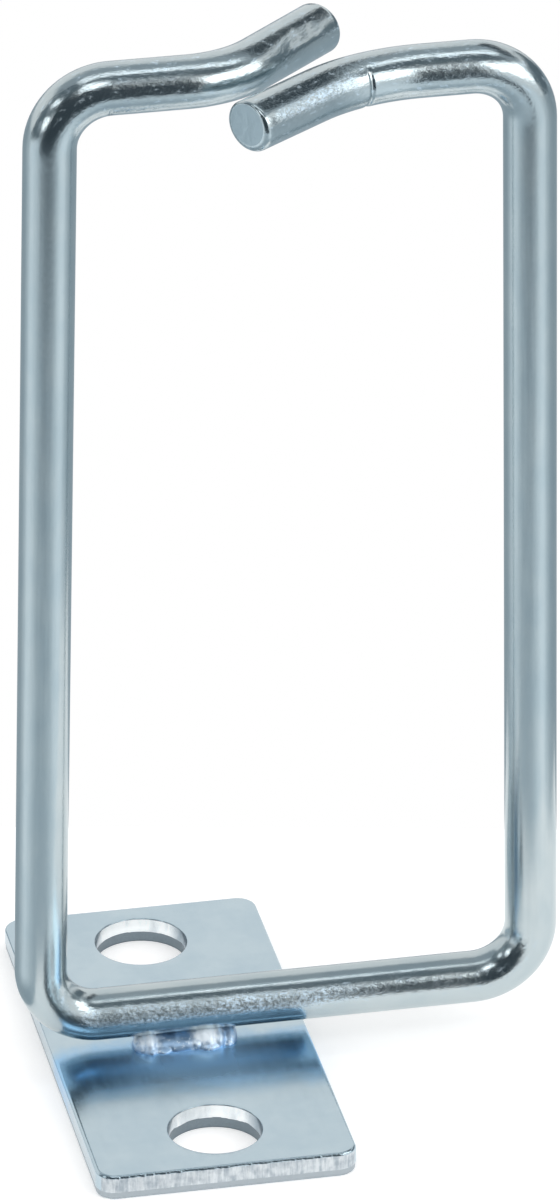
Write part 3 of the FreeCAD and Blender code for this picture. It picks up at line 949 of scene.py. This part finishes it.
# Camera: bearing from the front, height above the level and roll, then distance and aim in millimetres
VIEW_AZIMUTH = math.radians(-11.92)
VIEW_ELEVATION = math.radians(27.87)
VIEW_ROLL = math.radians(0.27)
VIEW_DISTANCE = 767.0
VIEW_AIM = np.array((7.88, 0.0, 38.78))
FOCAL_PIXELS = 10210.0
LONG_SIDE_PIXELS = 1200.0
SENSOR_WIDTH = 36.0
CLIP_START = 0.05
CLIP_END = 20.0
SIDEWAYS = (math.cos(VIEW_AZIMUTH), math.sin(VIEW_AZIMUTH), 0.0)
TOWARD = (math.sin(VIEW_AZIMUTH), -math.cos(VIEW_AZIMUTH), 0.0)
UPWARD = (0.0, 0.0, 1.0)


def place_camera():
    right = np.array(SIDEWAYS)
    back = math.cos(VIEW_ELEVATION) * np.array(TOWARD) + math.sin(VIEW_ELEVATION) * np.array(UPWARD)
    up = np.cross(back, right)
    turned_right = math.cos(VIEW_ROLL) * right + math.sin(VIEW_ROLL) * up
    turned_up = -math.sin(VIEW_ROLL) * right + math.cos(VIEW_ROLL) * up
    matrix = np.identity(4)
    matrix[:3] = np.column_stack([turned_right, turned_up, back, (VIEW_AIM + back * VIEW_DISTANCE) * MM])
    data = bpy.data.cameras.new("camera")
    data.sensor_width = SENSOR_WIDTH
    data.lens = FOCAL_PIXELS * SENSOR_WIDTH / LONG_SIDE_PIXELS
    data.clip_start = CLIP_START
    data.clip_end = CLIP_END
    camera = link_object("camera", data)
    camera.matrix_world = Matrix(matrix.tolist())
    bpy.context.scene.camera = camera


# Stage: a white shelf above graded paper, with dark flags, a pale card and soft lamps round it
# Places on it are in millimetres sideways, towards the front and up, turned with the camera's bearing
STAGE_TURN = Matrix((SIDEWAYS, TOWARD, UPWARD)).transposed()
DAYLIGHT = 0.8
FLOOR_COLOUR = (0.85, 0.85, 0.85)
FLOOR_LIFT = 0.31
SHELF_LEFT = -16.0
SHELF_RIGHT = 64.0
SHELF_NEAR = 24.0
SHELF_FAR = -36.0
SHELF_HEIGHT = -0.02

# Paper below the shelf: its colour, its shaded direction, the distances in metres over which its white
# comes in, and the extra white by bearing in degrees from the shaded direction
PAPER_HEIGHT = -100.0
PAPER_REACH = 2500.0
PAPER_COLOUR = (0.445, 0.525, 0.58)
PAPER_BEARING = math.radians(-10.0)
PAPER_CLEAR = (0.14, 0.23)
PAPER_FADE = [
    (0.0, 0.125), (20.0, 0.165), (35.0, 0.305), (50.0, 0.505), (65.0, 0.62),
    (75.0, 0.585), (90.0, 0.27), (110.0, 0.05), (130.0, 0.0), (180.0, 0.0),
]
HALF_TURN = 180.0

# Flags and cards: colours, then the ends of each sheet as sideways and near pairs, and its low and high edges
FLAG_DARK = (0.062, 0.08, 0.095)
FLAG_GREY = (0.165, 0.21, 0.24)
CARD_PALE = (0.485, 0.55, 0.595)
WALL_NEAR = 365.0
WALL_LEFT = -350.0
WALL_RIGHT = 178.0
WALL_TOP = 480.0
LOW_FLAG_RIGHT = 265.0
LOW_FLAG_TOP = -15.0
BAR_FLAG_RIGHT = 225.0
BAR_FLAG_HEIGHTS = (10.0, 250.0)
BACK_FLAG_ENDS = ((330.0, -120.0), (90.0, -340.0))
BACK_FLAG_FOOT = 310.0
LEFT_FLAG_FAR = -20.0
LEFT_FLAG_FOOT = 30.0
RIGHT_FLAG_ENDS = ((385.0, 13.0), (190.0, -330.0))
RIGHT_FLAG_HEIGHTS = (60.0, 220.0)
CEILING_LEFT = -550.0
CEILING_RIGHT = 600.0
CEILING_SPLIT = 30.0
CEILING_FAR = -330.0

# Lamps: name, place, aim, width, height and power in watts
OBJECT_TOP = (8.0, 0.0, 80.0)
OBJECT_FOOT = (0.0, 0.0, 0.0)
LAMPS = [
    ("overhead", (52.0, 12.0, 420.0), (52.0, 12.0, 0.0), 420.0, 70.0, 0.16),
    ("left_box", (-255.0, 215.0, 128.0), OBJECT_TOP, 90.0, 70.0, 0.06),
    ("left_high_box", (-245.0, 140.0, 257.0), OBJECT_TOP, 90.0, 50.0, 0.035),
    ("right_box", (280.0, 150.0, 215.0), OBJECT_TOP, 300.0, 165.0, 0.31),
    ("front_box", (-5.0, 265.0, 372.0), OBJECT_FOOT, 190.0, 120.0, 0.18),
]


def seen_directly(graph):
    """One for rays from the camera, from a mirror-like surface or through glass, and nothing for the rest."""
    path = graph.add("ShaderNodeLightPath").outputs
    first = graph.larger(path["Is Camera Ray"], path["Is Glossy Ray"])
    return graph.larger(first, path["Is Transmission Ray"])


def white_paper(name, colour, lift):
    """Matt paper, raised towards white where it is seen directly, by a number or by a function's nodes."""
    material, graph = new_material(name)
    if callable(lift):
        lift = lift(graph)
    matt = graph.add("ShaderNodeBsdfDiffuse", {"Color": opaque(colour)})
    glow = graph.add("ShaderNodeEmission", {"Strength": graph.product(seen_directly(graph), lift)})
    graph.surface(graph.add("ShaderNodeAddShader", {0: matt.outputs[0], 1: glow.outputs[0]}))
    return material


def paper_fade(graph):
    """White beside the object, fading to shade in front of it, behind it and right below it."""
    place = graph.object_place()
    side = graph.vector_math("DOT_PRODUCT", place, SIDEWAYS)["Value"]
    near = graph.vector_math("DOT_PRODUCT", place, TOWARD)["Value"]
    turned = graph.math("SUBTRACT", graph.math("ARCTAN2", side, near), PAPER_BEARING)
    away = graph.ramp(graph.math("ABSOLUTE", turned), (0.0, math.pi))
    fade = graph.add("ShaderNodeValToRGB", {"Fac": away})
    table = fade.color_ramp
    table.interpolation = "EASE"
    table.elements.remove(table.elements[-1])
    for index, (degrees, value) in enumerate(PAPER_FADE):
        stop = table.elements[0] if index == 0 else table.elements.new(degrees / HALF_TURN)
        stop.position = degrees / HALF_TURN
        stop.color = (value, value, value, 1.0)
    flat = graph.stretched(place, (1.0, 1.0, 0.0))
    distance = graph.vector_math("LENGTH", flat)["Value"]
    return graph.product(fade.outputs["Color"], graph.ramp(distance, PAPER_CLEAR))


def matt_card(name, colour):
    material, graph = new_material(name)
    graph.surface(graph.add("ShaderNodeBsdfDiffuse", {"Color": opaque(colour)}))
    return material


def standing(start, end, low, high):
    """Corners of a standing sheet between two places on the floor."""
    return [(*start, low), (*end, low), (*end, high), (*start, high)]


def lying(left, right, near, far, height):
    """Corners of a lying sheet."""
    return [(left, near, height), (right, near, height), (right, far, height), (left, far, height)]


def stage_sheet(name, corners, material):
    points = [np.array(STAGE_TURN @ Vector(corner)) for corner in corners]
    sheet = link_mesh(name, points, [tuple(range(len(corners)))], smooth=False)
    sheet.data.materials.append(material)
    return sheet


def build_stage():
    white = white_paper("floor_white", FLOOR_COLOUR, FLOOR_LIFT)
    graded = white_paper("paper_graded", PAPER_COLOUR, paper_fade)
    dark = matt_card("flag_dark", FLAG_DARK)
    grey = matt_card("flag_grey", FLAG_GREY)
    pale = matt_card("card_pale", CARD_PALE)
    paper = lying(-PAPER_REACH, PAPER_REACH, PAPER_REACH, -PAPER_REACH, PAPER_HEIGHT)
    wall_left, wall_right = (WALL_LEFT, WALL_NEAR), (WALL_RIGHT, WALL_NEAR)
    low_right, bar_right = (LOW_FLAG_RIGHT, WALL_NEAR), (BAR_FLAG_RIGHT, WALL_NEAR)
    left_far = (WALL_LEFT, LEFT_FLAG_FAR)
    ceiling = (CEILING_LEFT, CEILING_RIGHT)
    # Sheets outside the picture, which only the metal mirrors
    mirrored = [
        ("paper_below", paper, graded),
        ("front_flag", standing(wall_left, wall_right, PAPER_HEIGHT, WALL_TOP), dark),
        ("low_flag", standing(wall_right, low_right, PAPER_HEIGHT, LOW_FLAG_TOP), dark),
        ("bar_flag", standing(wall_right, bar_right, *BAR_FLAG_HEIGHTS), dark),
        ("ceiling_flag", lying(*ceiling, WALL_NEAR, CEILING_SPLIT, WALL_TOP), grey),
        ("ceiling_card", lying(*ceiling, CEILING_SPLIT, CEILING_FAR, WALL_TOP), pale),
        ("back_flag", standing(*BACK_FLAG_ENDS, BACK_FLAG_FOOT, WALL_TOP), dark),
        ("left_flag", standing(wall_left, left_far, LEFT_FLAG_FOOT, WALL_TOP), grey),
        ("right_flag", standing(*RIGHT_FLAG_ENDS, *RIGHT_FLAG_HEIGHTS), grey),
    ]
    stage_sheet("floor", lying(SHELF_LEFT, SHELF_RIGHT, SHELF_NEAR, SHELF_FAR, SHELF_HEIGHT), white)
    for name, corners, material in mirrored:
        sheet = stage_sheet(name, corners, material)
        sheet.visible_camera = False
        sheet.visible_diffuse = False
        sheet.visible_shadow = False


def build_world():
    world = bpy.data.worlds.new("studio")
    bpy.context.scene.world = world
    world.use_nodes = True
    world.cycles.sampling_method = "NONE"
    graph = Graph(world.node_tree)
    strength = graph.ramp(seen_directly(graph), SHARE, (DAYLIGHT, 1.0))
    sky = graph.add("ShaderNodeBackground", {"Color": opaque(WHITE), "Strength": strength})
    graph.add("ShaderNodeOutputWorld", {"Surface": sky.outputs[0]})


def soft_box(name, place, aim, width, height, power):
    """A rectangular lamp that shines from its place towards its aim."""
    data = bpy.data.lights.new(name, "AREA")
    data.shape = "RECTANGLE"
    data.size = width * MM
    data.size_y = height * MM
    data.energy = power
    lamp = link_object(name, data)
    lamp.location = STAGE_TURN @ Vector(place) * MM
    shine = STAGE_TURN @ (Vector(aim) - Vector(place))
    lamp.rotation_euler = shine.to_track_quat("-Z", "Y").to_euler()


place_camera()
build_stage()
build_world()
for lamp_row in LAMPS:
    soft_box(*lamp_row)

bpy.context.scene.view_settings.view_transform = "Standard"
